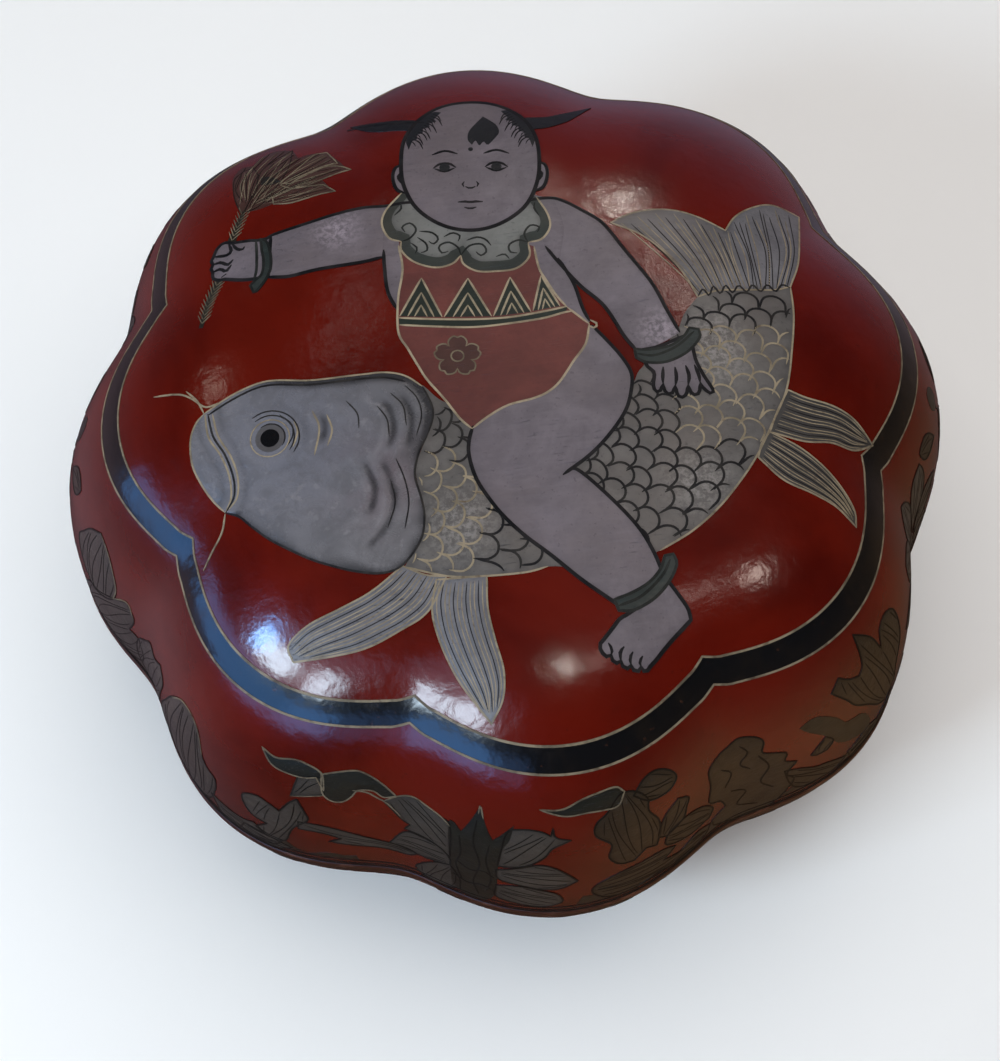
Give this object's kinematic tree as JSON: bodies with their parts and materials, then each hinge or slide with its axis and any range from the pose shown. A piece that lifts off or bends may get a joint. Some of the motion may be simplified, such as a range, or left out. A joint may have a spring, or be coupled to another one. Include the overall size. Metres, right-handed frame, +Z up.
{
  "type": "lacquer trinket box",
  "caption": "Round lacquer trinket box shaped like a lobed melon, with a domed lift-off lid, a hollow base and a low foot ring.",
  "frame": {"origin": "middle of the underside, on the plane that the box stands on", "axes": "+Z up through the top of the lid; the crest of a lobe lies on each of +X, -X, +Y and -Y, and -Y is the front"},
  "size_m": [0.2008, 0.2008, 0.1135],
  "materials": {
    "lid_red_lacquer": "gloss",
    "base_red_lacquer": "gloss"
  },
  "bodies": {
    "root": {"lid": "lid_red_lacquer", "base": "base_red_lacquer"}
  },
  "joints": []
}
